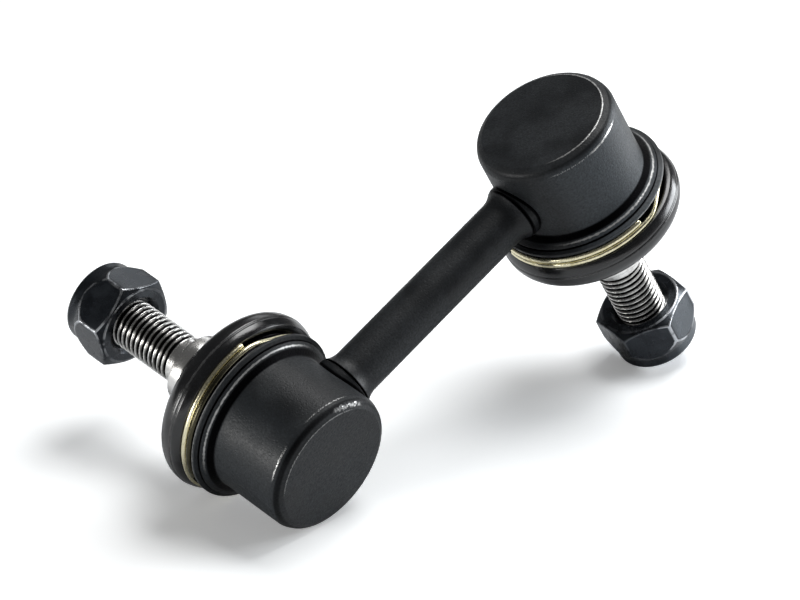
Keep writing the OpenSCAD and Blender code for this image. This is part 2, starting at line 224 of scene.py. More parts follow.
def newGroup(name, inputs, outputs):
    group = bpy.data.node_groups.new(name, "ShaderNodeTree")
    for label, value in inputs.items():
        kind = "NodeSocketVector" if value is None else "NodeSocketFloat"
        socket = group.interface.new_socket(label, in_out="INPUT", socket_type=kind)
        if value is not None:
            socket.default_value = value
    for label in outputs:
        group.interface.new_socket(label, in_out="OUTPUT", socket_type="NodeSocketFloat")
    return group, group.nodes.new("NodeGroupInput").outputs, group.nodes.new("NodeGroupOutput").inputs


def useGroup(tree, group, sockets):
    made = tree.nodes.new("ShaderNodeGroup")
    made.node_tree = group
    return fill(tree, made, sockets).outputs


def maskOf(tree, group, place, given):
    # the mask of a group, times the strength where one is given
    sockets = {key: value for key, value in given.items() if key != "Strength"}
    mask = useGroup(tree, group, {"Place": place, **sockets})["Mask"]
    return times(tree, mask, given["Strength"]) if "Strength" in given else mask


def aroundAxis(tree, place):
    x, y, h = addNode(tree, "SeparateXYZ", {0: place}).outputs
    r = calc(tree, "SQRT", plus(tree, times(tree, x, x), times(tree, y, y)))
    return x, y, r, h


def fromRing(tree, given, r, h):
    # how far a place is from the given ring
    dr, dh = minus(tree, r, given["Radius"]), minus(tree, h, given["Height"])
    return calc(tree, "SQRT", plus(tree, times(tree, dr, dr), times(tree, dh, dh)))


def facing(tree, given, x, y, whole):
    # 1 near the given middle angle, fading from the share "whole" of the given half angle on
    turned = minus(tree, calc(tree, "ARCTAN2", y, x), calc(tree, "RADIANS", given["Middle"]))
    inside = cosOf(tree, times(tree, given["Half"], whole))
    return remap(tree, calc(tree, "COSINE", turned), cosOf(tree, given["Half"]), inside)


# The shader groups: sizes and places in mm, angles in degrees

grainLook = {"detail": 4.0, "rough": 0.6, "spots": 0.8, "pits": (0.1, 0.45)}
wearLook = {"broad": (1.6, 3.0), "fine": (5.0, 2.0), "wander": 2.0, "core": 0.25, "whole": 0.6,
            "lost": 0.85,
            "kept": 0.1}
shadeCore, sideWhole, sideFade, axisCore = 0.55, 0.4, 0.6, 0.5


def makeGrainGroup():
    # fine speckle and bump of a coated or cast surface
    group, given, out = newGroup("surfaceGrain", {"Place": None, "Size": 0.4, "Contrast": 0.5},
                                 ["Speckle", "Height"])
    look = grainLook
    coords = calcVector(group, "SCALE", given["Place"])
    group.links.new(calc(group, "DIVIDE", 1.0, given["Size"]), coords.inputs["Scale"])
    coords = coords.outputs[0]
    fine = noise(group, coords, 1.0, look["detail"], look["rough"])
    spots = addNode(group, "TexVoronoi", {"Vector": coords, "Scale": look["spots"], "Randomness": 1.0})
    half = times(group, given["Contrast"], 0.5)
    speckle = remap(group, fine, minus(group, 0.5, half), plus(group, 0.5, half))
    group.links.new(speckle, out["Speckle"])
    pits = remap(group, spots.outputs["Distance"], *look["pits"])
    group.links.new(times(group, fine, pits), out["Height"])
    return group


def makeWearGroup():
    # a line along a ring of the piece, between two angles, broken up by noise: worn edges, and the grey line
    # on the boots' mould ridge
    group, given, out = newGroup("ringWear", {"Place": None, "Radius": 10.0, "Height": 0.0, "Width": 0.2,
                                              "Middle": 0.0, "Half": 20.0, "Breakup": 0.5}, ["Mask"])
    look, width = wearLook, given["Width"]
    x, y, r, h = aroundAxis(group, given["Place"])
    broad = minus(group, noise(group, given["Place"], *look["broad"]), 0.5)
    away = plus(group, fromRing(group, given, r, h),
                times(group, broad, times(group, width, look["wander"])))
    band = remap(group, away, width, times(group, width, look["core"]))
    span = facing(group, given, x, y, look["whole"])
    kept = remap(group, noise(group, given["Place"], *look["fine"]),
                 times(group, given["Breakup"], look["lost"]),
                 plus(group, given["Breakup"], look["kept"]))
    group.links.new(calc(group, "MULTIPLY", times(group, band, span), kept, clamp=True), out["Mask"])
    return group


def makeRingShadeGroup():
    # where painted shade lies in a groove that runs round the piece
    group, given, out = newGroup("ringShade", {"Place": None, "Radius": 10.0, "Height": 0.0, "Width": 0.5},
                                 ["Mask"])
    _, _, r, h = aroundAxis(group, given["Place"])
    inner = times(group, given["Width"], shadeCore)
    group.links.new(remap(group, fromRing(group, given, r, h), given["Width"], inner), out["Mask"])
    return group


def makeSideGroup():
    # one side of a round piece, fading out at both ends of the angle and inside a radius
    group, given, out = newGroup("oneSide", {"Place": None, "Middle": 0.0, "Half": 30.0, "Inner": 0.0},
                                 ["Mask"])
    x, y, r, _ = aroundAxis(group, given["Place"])
    outside = remap(group, r, minus(group, given["Inner"], sideFade), given["Inner"])
    group.links.new(times(group, facing(group, given, x, y, sideWhole), outside), out["Mask"])
    return group


def makeAxisShadeGroup():
    # where painted shade lies along the joint with a round part that lies across the piece
    group, given, out = newGroup("axisShade", {"Place": None, "Centre": None, "Axis": None, "Radius": 10.0,
                                               "Width": 0.5}, ["Mask"])
    off = calcVector(group, "SUBTRACT", given["Place"], given["Centre"]).outputs[0]
    crossed = calcVector(group, "CROSS_PRODUCT", off, given["Axis"]).outputs[0]
    beyond = minus(group, calcVector(group, "LENGTH", crossed).outputs["Value"], given["Radius"])
    inner = times(group, given["Width"], axisCore)
    group.links.new(remap(group, beyond, given["Width"], inner), out["Mask"])
    return group


def ownPlace(tree):
    return addNode(tree, "Attribute", {}, attribute_name="ownPlace").outputs["Vector"]


def objectPlace(tree):
    coords = addNode(tree, "TexCoord", {}).outputs["Object"]
    return addNode(tree, "VectorMath", {0: coords, "Scale": 1 / mm}, operation="SCALE").outputs[0]


def startMaterial(name):
    material = bpy.data.materials.new(name)
    material.use_nodes = True
    return material, material.node_tree, material.node_tree.nodes["Principled BSDF"]


def bumpFrom(tree, height, deep):
    return addNode(tree, "Bump", {"Height": height, "Distance": deep * mm, "Strength": 1.0}).outputs[0]


grain = makeGrainGroup()
wear = makeWearGroup()
ringShade = makeRingShadeGroup()
axisShade = makeAxisShadeGroup()
oneSide = makeSideGroup()

# Finishes. A noise is (scale, detail) or (scale, detail, roughness), and depths of bumps are in mm

noiseSpan = (0.3, 0.7)  # most values of a noise lie in it
# the near-black colour of the painted shade in grooves and joints
shadeBlack = (0.0025, 0.0025, 0.003, 1)
# paintedSheen is the lighter grey of the painted sheen on a lit side
coat = {"dark": (0.006, 0.0068, 0.0077, 1), "light": (0.032, 0.0358, 0.0396, 1),
        "bare": (0.66, 0.66, 0.65, 1), "paintedSheen": (0.075, 0.088, 0.10, 1), "gloss": 0.27,
        "grain": {"Size": 0.42, "Contrast": 0.85}, "grainDeep": 0.036, "cloud": (0.12, 3.0),
        "patch": (0.35, 0.65), "patchShare": 0.6, "fleckShare": 0.75, "rough": (0.38, 0.55), "mottle": 0.22,
        "wornMetal": 0.85, "wornSmooth": 0.2}
rubber = {"dark": (0.004, 0.0042, 0.005, 1), "light": (0.011, 0.0115, 0.013, 1),
          "ridgeGrey": (0.11, 0.11, 0.11, 1), "gloss": 0.75, "grain": {"Size": 0.3, "Contrast": 0.8},
          "grainDeep": 0.009, "cloud": (0.25, 4.0), "rough": (0.16, 0.27)}
# root is the near-black painted shade in the thread's roots
bright = {"light": (0.88, 0.87, 0.85, 1), "dull": (0.50, 0.49, 0.475, 1), "root": (0.006, 0.006, 0.0065, 1),
          "cloud": (0.45, 4.0, 0.7), "patch": (0.40, 0.80), "sheen": (0.35, 0.65), "rough": (0.18, 0.30),
          "lines": (1.0, 3.0), "turned": (0.15, 0.15, 9.0), "lineDeep": 0.001}
oxide = {"dark": (0.016, 0.019, 0.024, 1), "light": (0.040, 0.047, 0.056, 1), "bare": (0.62, 0.64, 0.67, 1),
         "paintedSheen": (0.17, 0.19, 0.21, 1), "grain": {"Size": 0.22, "Contrast": 0.9}, "grainDeep": 0.01,
         "cloud": (0.3, 3.0), "nicks": (0.35, 3.0), "nickSpan": (0.34, 0.54), "fleckShare": 0.6,
         "flatEdge": (0.0, 0.4), "wornEdge": (0.5, 1.0), "wornSide": 0.78, "wornAll": 0.12,
         "wornMetal": 0.3, "metal": 0.7, "rough": (0.22, 0.34)}
gold = {"light": (0.88, 0.82, 0.58, 1), "deep": (0.50, 0.44, 0.20, 1), "shaded": (0.07, 0.064, 0.042, 1),
        "cloud": (0.5, 4.0), "patch": (0.5, 0.85), "scratches": (6.0, 2.0), "scratchDeep": 0.006,
        "shadeFade": 0.2, "rough": (0.20, 0.32)}
plastic = {"grain": {"Size": 0.5, "Contrast": 0.8}, "grainDeep": 0.01}


def paintShade(tree, shader, color, mask, metal):
    # painted shade in a groove or joint: near black, and without the gloss of the finish round it
    fill(tree, shader, {"Base Color": blendColors(tree, mask, color, shadeBlack),
                        "Metallic": calc(tree, "MAXIMUM", metal, mask)})


def coatedSteel(name, wornRings, shadeRings, shadeAxes=(), paintedSheenSide=None):
    material, tree, shader = startMaterial(name)
    place = ownPlace(tree)
    speckle, height = useGroup(tree, grain, {"Place": place, **coat["grain"]})
    cloud = noise(tree, place, *coat["cloud"])
    patch = softened(tree, remap(tree, cloud, *coat["patch"]), coat["patchShare"])
    color = blendColors(tree, times(tree, speckle, patch), coat["dark"], coat["light"])
    if paintedSheenSide:  # painted sheen: the side that the lamps light is lighter and greyer
        fleck = softened(tree, speckle, coat["fleckShare"])
        side = times(tree, maskOf(tree, oneSide, place, paintedSheenSide), fleck)
        color = blendColors(tree, side, color, coat["paintedSheen"])
    worn = strongest(tree, [maskOf(tree, wear, place, ring) for ring in wornRings])
    # painted shade in the grooves and along the joints
    shade = strongest(tree, [maskOf(tree, ringShade, place, ring) for ring in shadeRings]
                      + [maskOf(tree, axisShade, place, axis) for axis in shadeAxes])
    if wornRings:
        color = blendColors(tree, worn, color, coat["bare"])
        shade = times(tree, shade, minus(tree, 1.0, worn))
    paintShade(tree, shader, color, shade, times(tree, worn, coat["wornMetal"]))
    rough = remap(tree, cloud, *noiseSpan, *coat["rough"])
    rough = plus(tree, rough, times(tree, minus(tree, 0.5, speckle), coat["mottle"]))
    fill(tree, shader, {"Specular IOR Level": coat["gloss"],
                        "Roughness": minus(tree, rough, times(tree, worn, coat["wornSmooth"])),
                        "Normal": bumpFrom(tree, height, coat["grainDeep"])})
    return material


def bootRubber(name, ridgeGreyRings, shadeRings):
    material, tree, shader = startMaterial(name)
    place = ownPlace(tree)
    speckle, height = useGroup(tree, grain, {"Place": place, **rubber["grain"]})
    cloud = noise(tree, place, *rubber["cloud"])
    color = blendColors(tree, times(tree, speckle, cloud), rubber["dark"], rubber["light"])
    # a lighter grey line along the mould ridge, on part of each boot
    for ring in ridgeGreyRings:
        color = blendColors(tree, maskOf(tree, wear, place, ring), color, rubber["ridgeGrey"])
    # painted shade on the rubber beside the clip
    paintShade(tree, shader, color, strongest(tree, [maskOf(tree, ringShade, place,
                                                        ring) for ring in shadeRings]), 0.0)
    fill(tree, shader, {"Specular IOR Level": rubber["gloss"],
                        "Roughness": remap(tree, cloud, *noiseSpan, *rubber["rough"]),
                        "Normal": bumpFrom(tree, height, rubber["grainDeep"])})
    return material


def brightSteel(name, placeOf=ownPlace, turned=True, rootShade=None):
    material, tree, shader = startMaterial(name)
    place = placeOf(tree)
    stretched = place
    if turned:  # fine lines round the stud from turning and rolling
        stretched = calcVector(tree, "MULTIPLY", place, bright["turned"]).outputs[0]
    lines = noise(tree, stretched, *bright["lines"])
    cloud = noise(tree, place, *bright["cloud"])
    color = blendColors(tree, remap(tree, cloud, *bright["patch"]), bright["light"], bright["dull"])
    if rootShade:  # painted shade: the roots of the thread near black
        _, _, r, h = aroundAxis(tree, place)
        above, below = calc(tree, "GREATER_THAN", h, rootShade["foot"]), calc(tree, "LESS_THAN", h,
                                                                          rootShade["top"])
        low = times(tree, remap(tree, r, rootShade["crestR"], rootShade["rootR"]), times(tree, above, below))
        color = blendColors(tree, low, color, bright["root"])
    fill(tree, shader, {"Base Color": color, "Metallic": 1.0,
                        "Roughness": remap(tree, cloud, *bright["sheen"], *bright["rough"]),
                        "Normal": bumpFrom(tree, lines, bright["lineDeep"])})
    return material


def blackOxide(name, paintedSheenSide, wornSide):
    material, tree, shader = startMaterial(name)
    place = ownPlace(tree)
    speckle, height = useGroup(tree, grain, {"Place": place, **oxide["grain"]})
    cloud = noise(tree, place, *oxide["cloud"])
    tint = times(tree, speckle, remap(tree, cloud, *noiseSpan))
    color = blendColors(tree, tint, oxide["dark"], oxide["light"])
    edge = addNode(tree, "Attribute", {}, attribute_name="edge").outputs["Fac"]
    # painted sheen on the faces that the lamps light, kept off the edges
    paintedSheen = times(tree, maskOf(tree, oneSide, place, paintedSheenSide), softened(tree, speckle, oxide["fleckShare"]))
    flat = minus(tree, 1.0, remap(tree, edge, *oxide["flatEdge"]))
    color = blendColors(tree, times(tree, paintedSheen, flat), color, oxide["paintedSheen"])
    nick = remap(tree, noise(tree, place, *oxide["nicks"]), *oxide["nickSpan"])
    side = times(tree, maskOf(tree, oneSide, place, wornSide), oxide["wornSide"])
    rubbed = times(tree, remap(tree, edge, *oxide["wornEdge"]), nick)
    worn = times(tree, rubbed, plus(tree, side, oxide["wornAll"]))
    fill(tree, shader, {"Base Color": blendColors(tree, worn, color, oxide["bare"]),
                        "Metallic": plus(tree, times(tree, worn, oxide["wornMetal"]), oxide["metal"]),
                        "Roughness": remap(tree, cloud, *noiseSpan, *oxide["rough"]),
                        "Normal": bumpFrom(tree, height, oxide["grainDeep"])})
    return material


def goldWire(name, shaded):
    material, tree, shader = startMaterial(name)
    place = ownPlace(tree)
    scratch = noise(tree, place, *gold["scratches"])
    patch = remap(tree, noise(tree, place, *gold["cloud"]), *gold["patch"])
    color = blendColors(tree, patch, gold["light"], gold["deep"])
    if shaded:  # painted shade where the inner turn lies behind the outer one
        side = maskOf(tree, oneSide, place, {key: shaded[key] for key in ("Middle", "Half")})
        h = addNode(tree, "SeparateXYZ", {0: place}).outputs[2]
        low = remap(tree, h, shaded["below"] + gold["shadeFade"], shaded["below"] - gold["shadeFade"])
        color = blendColors(tree, times(tree, side, low), color, gold["shaded"])
    fill(tree, shader, {"Base Color": color, "Metallic": 1.0,
                        "Roughness": remap(tree, scratch, *noiseSpan, *gold["rough"]),
                        "Normal": bumpFrom(tree, scratch, gold["scratchDeep"])})
    return material


def plainPlastic(name, color, shade, rough):
    material, tree, shader = startMaterial(name)
    speckle, height = useGroup(tree, grain, {"Place": objectPlace(tree), **plastic["grain"]})
    fill(tree, shader, {"Base Color": blendColors(tree, speckle, color, shade), "Roughness": rough,
                        "Normal": bumpFrom(tree, height, plastic["grainDeep"])})
    return material


# The bar: upset and welded on at both ends, with a collar and a joint line

bar = {"r": 4.9, "upsetR": 6.0, "root": 12.2, "collarEnd": 14.8, "lineWide": 0.4, "lineDeep": 0.5,
       "lineRound": 0.05, "flareIn": 0.12, "flareEnd": 18.2, "flareSteps": 8, "flareCurve": 2.2,
       "rounding": 0.12, "grooveIn": 0.2, "grooveShadeWidth": 0.5, "jointR": 14.25, "jointShadeWidth": 0.75}


def barShades(half):
    # painted shade in the two grooves beside the weld collars, and along the joint with each housing's wall
    b = bar
    groove = half - b["collarEnd"] - b["lineWide"] / 2
    rings = [{"Radius": b["upsetR"] - b["grooveIn"], "Height": side * groove, "Width": b["grooveShadeWidth"]}
             for side in (-1, 1)]
    toBar = barSpace().to_3x3().inverted()
    axes = [{"Centre": (0, 0, side * half), "Axis": toBar @ endSpace(end).to_3x3().col[2],
             "Radius": b["jointR"], "Width": b["jointShadeWidth"]} for side, end in ((-1, "a"), (1, "b"))]
    return rings, axes


def makeBar():
    half = (endSpace("b").translation - endSpace("a").translation).length / mm / 2
    b = bar
    lineEnd = b["collarEnd"] + b["lineWide"]
    flareR = b["upsetR"] - b["flareIn"]
    side = [(0, b["root"]), (b["upsetR"], b["root"], b["rounding"]),
            (b["upsetR"], b["collarEnd"], b["rounding"]),
            (b["upsetR"] - b["lineDeep"], b["collarEnd"] + b["lineWide"] / 2, b["lineRound"]),
            (flareR, lineEnd, b["rounding"])]
    for n in range(b["flareSteps"]):
        t = (n + 1) / b["flareSteps"]
        reach = (flareR - b["r"]) * (1 - t) ** b["flareCurve"]
        side.append((b["r"] + reach, lineEnd + (b["flareEnd"] - lineEnd) * t))
    outline = [(p[0], p[1] - half, *p[2:]) for p in side]
    outline += [(p[0], half - p[1], *p[2:]) for p in reversed(side)]
    bm = spinOutline(outline)
    coatOfBar = coatedSteel("bar coat", [], *barShades(half))
    keepPiece("bar", bm, barSpace(), coatOfBar, "link", ["link_rod"])


makeBar()
print("bar made")

# The housings: a cap with a beveled rim, the wall, a flare, and the flange and seat for the boot

housing = {"r": 14.25, "capH": -11.2, "bevelWide": 1.9, "bevelHigh": 2.1, "bevelIn": 0.55, "bevelUp": 0.75,
           "flareH": 5.7, "edgeR": 15.95, "edgeH": 6.85, "ridgeR": 16.53, "ridgeH": 7.29, "grooveR": 16.33,
           "grooveH": 7.62, "rimR": 17.4, "rimLow": 7.95, "rimTop": 8.6, "seatR": 14.45, "seatTop": 11.6,
           "beadR": 15.0, "beadStep": 0.2, "mouthTop": 12.3, "mouthR": 12.2, "lipTop": 8.2,
           "lipOuterR": 11.35, "lipR": 10.7, "lipFoot": 7.0, "pocketR": 12.0, "pocketFoot": 4.6,
           "boreR": 10.9, "floorH": -9.0, "fine": 0.1, "edge": 0.12, "steps": 128}
# painted shade in the flange's flare, in its groove and behind its rim, and a painted dark band on each
# cap's bevel
flangeShades = [{"Radius": 14.9, "Height": 6.1, "Width": 1.0},
                 {"Radius": 16.33, "Height": 7.62, "Width": 0.42},
                 {"Radius": 16.4, "Height": 8.7, "Width": 0.75}]
housingShades = {"a": [*flangeShades, {"Radius": 13.4, "Height": -10.1, "Width": 0.8, "Strength": 0.7}],
               "b": [*flangeShades, {"Radius": 13.5, "Height": -10.0, "Width": 0.6, "Strength": 0.3}]}
# painted sheen on the side of each housing's wall that the lamps light
paintedSheenSides = {"a": {"Middle": 215, "Half": 60, "Inner": 14.2, "Strength": 0.25},
             "b": {"Middle": 84, "Half": 58, "Inner": 14.2, "Strength": 0.8}}
wearKeys = ("Radius", "Height", "Width", "Middle", "Half", "Breakup", "Strength")
wornEdges = {
    "a": [(12.4, -11.15, 0.16, 258, 62, 0.42, 0.4), (14.2, -9.15, 0.24, 231, 16, 0.42, 0.8),
          (13.1, -10.4, 0.6, 309, 18, 0.34, 0.9), (14.2, -9.15, 0.18, 290, 24, 0.50, 0.5),
          (15.9, 6.82, 0.26, 262, 80, 0.30, 0.75), (17.35, 8.5, 0.26, 230, 60, 0.34, 0.3)],
    "b": [(12.4, -11.15, 0.18, 40, 95, 0.36, 0.7), (14.2, -9.15, 0.28, 77, 20, 0.40, 0.95),
          (14.2, -9.15, 0.2, 108, 26, 0.52, 0.5), (15.9, 6.82, 0.26, 75, 80, 0.32, 0.6),
          (17.35, 8.5, 0.26, 55, 50, 0.30, 0.5)]}


def makeHousing(end):
    s = housing
    outline = [
        (0, s["capH"]), (s["r"] - s["bevelWide"], s["capH"], s["edge"]),
        (s["r"] - s["bevelIn"], s["capH"] + s["bevelUp"], 0.45), (s["r"], s["capH"] + s["bevelHigh"], 0.25),
        (s["r"], s["flareH"], 0.35), (s["edgeR"], s["edgeH"], s["edge"]),
        (s["ridgeR"], s["ridgeH"], s["fine"]), (s["grooveR"], s["grooveH"], 0.06),
        (s["rimR"], s["rimLow"], s["edge"]), (s["rimR"], s["rimTop"], s["edge"]),
        (s["seatR"], s["rimTop"], s["fine"]), (s["seatR"], s["seatTop"], s["fine"]),
        (s["beadR"], s["seatTop"] + s["beadStep"], s["fine"]),
        (s["beadR"], s["mouthTop"] - s["beadStep"], s["fine"]), (s["seatR"], s["mouthTop"], s["fine"]),
        (s["mouthR"], s["mouthTop"], 0.2), (s["mouthR"], s["lipTop"], s["fine"]),
        (s["lipOuterR"], s["lipTop"], s["fine"]), (s["lipR"], s["lipFoot"], 0.05),
        (s["pocketR"], s["lipFoot"]), (s["pocketR"], s["pocketFoot"]), (s["boreR"], s["pocketFoot"]),
        (s["boreR"], s["floorH"]), (0, s["floorH"])]
    bm = spinOutline(outline, steps=s["steps"])
    wornRings = [dict(zip(wearKeys, row)) for row in wornEdges[end]]
    steel = coatedSteel(f"housing {end} coat", wornRings, housingShades[end], paintedSheenSide=paintedSheenSides[end])
    keepPiece(f"housing_{end}_shell", bm, endSpace(end), steel, "link",
              [f"housing_{end}"])


for end in "ab":
    makeHousing(end)
print("housings made")

# The dust boots: a bulge with a mould line, a slope and a neck, all hollow

boot = {"footR": 14.55, "footH": 8.7, "bedR": 15.75, "bedTop": 11.45, "bulgeR": 14.6, "bulgeH": 14.0,
        "bulgeRound": 3.96, "bulgeSteps": 48, "mouldLine": -10.0, "mouldDeep": 0.14, "mouldWide": 2.2,
        "ridgeHigh": 0.03, "ridgeOff": 6, "ridgeWide": 3.5, "slopeAngle": 57.3, "wall": 1.7,
        "innerEnd": -20, "innerSteps": 14, "neckR": 8.3, "neckH": 22.8, "neckTop": 23.5, "neckIn": 0.6,
        "neckInner": 5.3, "ringR": 6.5, "ringFoot": 21.4, "ringTop": 23.1, "neckFoot": 20.9,
        "slopeInnerR": 9.0, "slopeInnerDrop": 0.3, "waistR": 15.1, "waistTop": 12.5, "lipH": 11.6,
        "steps": 128}
# painted shade on the rubber under and beside the clip
bedShade = [{"Radius": 15.9, "Height": 9.6, "Width": 1.4}, {"Radius": 16.2, "Height": 11.2, "Width": 1.0}]
# a lighter grey line along the mould ridge, on part of each boot
ridgeGreyLines = {"a": [(18.5, 13.55, 0.3, 260, 110, 0.36, 0.5)], "b": [(18.5, 13.55, 0.3, 60, 110, 0.40, 0.3)]}


def bootOutline():
    b = boot
    outer = []
    start = -math.degrees(math.asin((b["bulgeH"] - b["bedTop"]) / b["bulgeRound"]))
    for n in range(b["bulgeSteps"] + 1):
        angle = start + (b["slopeAngle"] - start) * n / b["bulgeSteps"]
        off = angle - b["mouldLine"]
        reach = b["bulgeRound"] - b["mouldDeep"] * math.exp(-(off / b["mouldWide"]) ** 2)
        reach += b["ridgeHigh"] * math.exp(-((off - b["ridgeOff"]) / b["ridgeWide"]) ** 2)
        a = math.radians(angle)
        outer.append((b["bulgeR"] + reach * math.cos(a), b["bulgeH"] + reach * math.sin(a)))
    inner = arcPoints(b["bulgeR"], b["bulgeH"], b["bulgeRound"] - b["wall"], b["slopeAngle"], b["innerEnd"],
                      b["innerSteps"])
    return [(b["footR"], b["footH"]), (b["bedR"], b["footH"], 0.12), (b["bedR"], b["bedTop"], 0.3), *outer,
            (b["neckR"], b["neckH"], 0.6), (b["neckR"] - b["neckIn"], b["neckTop"], 0.3),
            (b["neckInner"], b["neckTop"]), (b["neckInner"], b["ringTop"]), (b["ringR"], b["ringTop"]),
            (b["ringR"], b["ringFoot"]), (b["neckInner"], b["ringFoot"]), (b["neckInner"], b["neckFoot"]),
            (b["slopeInnerR"], b["neckFoot"] - b["slopeInnerDrop"]), *inner, (b["waistR"], b["waistTop"]),
            (b["waistR"], b["lipH"]), (b["footR"], b["lipH"])]


def makeBoot(end):
    bm = spinOutline(bootOutline(), closed=True, steps=boot["steps"])
    space = endSpace(end)
    ridgeGreyRings = [dict(zip(wearKeys, row)) for row in ridgeGreyLines[end]]
    skin = bootRubber(f"boot {end} rubber", ridgeGreyRings, bedShade)
    piece = keepPiece(f"dust_boot_{end}_rubber", bm, space, skin, None, [f"dust_boot_{end}"],
                      sharp=60)
    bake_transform(piece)


for end in "ab":
    makeBoot(end)
print("boots made")

# The boot clips: a spring wire wound a little over one turn, its ends cut square. Its middle lies tight on
# the rubber, and the ends spring out where they pass each other

clip = {"tightR": 16.36, "spring": 0.92, "wireR": 0.55, "low": 9.27, "pitch": 1.32, "turns": 1.28,
        "start": {"a": 181, "b": 91},
        "shaded": {"a": {"Middle": 225, "Half": 66, "below": 9.85}, "b": None}, "bend": 25, "early": 7,
        "stepsPerTurn": 120, "sides": 16, "endBevel": 0.12}


def ease(value, start, end):
    t = min(max((value - start) / (end - start), 0), 1)
    return t * t * (3 - 2 * t)


def sprung(angle):
    c = clip
    overlap, out = 360 * (c["turns"] - 1), 360 - c["early"]
    return 1 - ease(angle, overlap, overlap + c["bend"]) + ease(angle, out - c["bend"], out)


def makeClip(end):
    c = clip
    bm = bmesh.new()
    steps = round(c["stepsPerTurn"] * c["turns"])
    # a straight wire, one length for each step, is bent along its path
    turned = Matrix.Rotation(math.pi / 2, 4, "X")
    bmesh.ops.create_circle(bm, segments=c["sides"], radius=c["wireR"] * mm, cap_ends=True, matrix=turned)
    bmesh.ops.spin(bm, geom=bm.verts[:] + bm.edges[:] + bm.faces[:], cent=(0, 0, 0), axis=(0, 0, 1),
                   angle=0, steps=steps, dvec=(0, mm, 0))
    for v in bm.verts:
        angle = 360 * round(v.co.y / mm) / c["stepsPerTurn"]
        out = sprung(angle)
        r = v.co.x + (c["tightR"] + c["spring"] * out) * mm
        h = v.co.z + (c["low"] + c["pitch"] * angle / 360 * out) * mm
        v.co = (r * math.cos(math.radians(angle)), r * math.sin(math.radians(angle)), h)
    closeUp(bm)
    rims = [e for f in bm.faces if len(f.verts) > 4 for e in f.edges]
    bmesh.ops.bevel(bm, geom=rims, offset=c["endBevel"] * mm, offset_type="OFFSET", affect="EDGES",
                    segments=2, profile=0.5, material=-1)
    bmesh.ops.rotate(bm, verts=bm.verts, cent=(0, 0, 0),
                     matrix=Matrix.Rotation(math.radians(c["start"][end]), 3, "Z"))
    wire = goldWire(f"clip {end} wire", c["shaded"][end])
    keepPiece(f"boot_clip_{end}_wire", bm, endSpace(end), wire, "link", [f"boot_clip_{end}"],
              sharp=50)


for end in "ab":
    makeClip(end)
print("clips made")

# The studs: neck, land, round collar and plain shank, then a rolled thread with a key socket in its end

stud = {"ballR": 8.05, "neckR": 4.2, "landR": 5.2, "landFoot": 19.7, "landH": 20.9, "collarR": 7.25,
        "collarFoot": 23.7, "collarTop": 26.5, "collarBevel": 0.3, "shankR": 5.0, "shankTop": 29.3,
        "coreR": 4.1, "coreRise": 0.75, "crestR": 4.97, "rootR": 4.26, "pitch": 1.25,
        "flanks": (0.14, 0.44, 0.60, 0.90), "threadRound": 0.07, "threadFoot": 28.6, "threadTop": 52.1,
        "endBevel": 1.0, "steps": 72, "keyFlats": 5.0, "keyDeep": 4.5, "keyBevel": 0.3, "keyPoint": 1.2,
        "rootShade": {"rootR": 4.55, "crestR": 4.91, "foot": 28.9, "top": 51.0}}


def addShaft(bm):
    s = stud
    low = math.degrees(math.asin(math.sqrt(1 - (s["neckR"] / s["ballR"]) ** 2)))
    outline = arcPoints(0, 0, s["ballR"], 90, low, 6)
    outline += [
        (s["neckR"], s["landFoot"], 0.4), (s["landR"], s["landH"], 0.2), (s["landR"], s["collarFoot"], 0.1),
        (s["collarR"], s["collarFoot"], s["collarBevel"]), (s["collarR"], s["collarTop"], s["collarBevel"]),
        (s["shankR"], s["collarTop"], 0.35), (s["shankR"], s["shankTop"], 0.2),
        (s["coreR"], s["shankTop"] + s["coreRise"]), (0, s["shankTop"] + s["coreRise"])]
    drawOutline(bm, outline)
    bmesh.ops.spin(bm, geom=bm.verts[:] + bm.edges[:], cent=(0, 0, 0), axis=(0, 0, 1), angle=math.tau,
                   steps=s["steps"], use_merge=True)


def threadOutline():
    # one pitch of the thread: root, flank, crest, flank
    s = stud
    corners = zip((s["rootR"], s["crestR"], s["crestR"], s["rootR"]), s["flanks"])
    middle = [(r, share * s["pitch"], s["threadRound"]) for r, share in corners]
    return [(s["rootR"], 0), *middle, (s["rootR"], s["pitch"])]


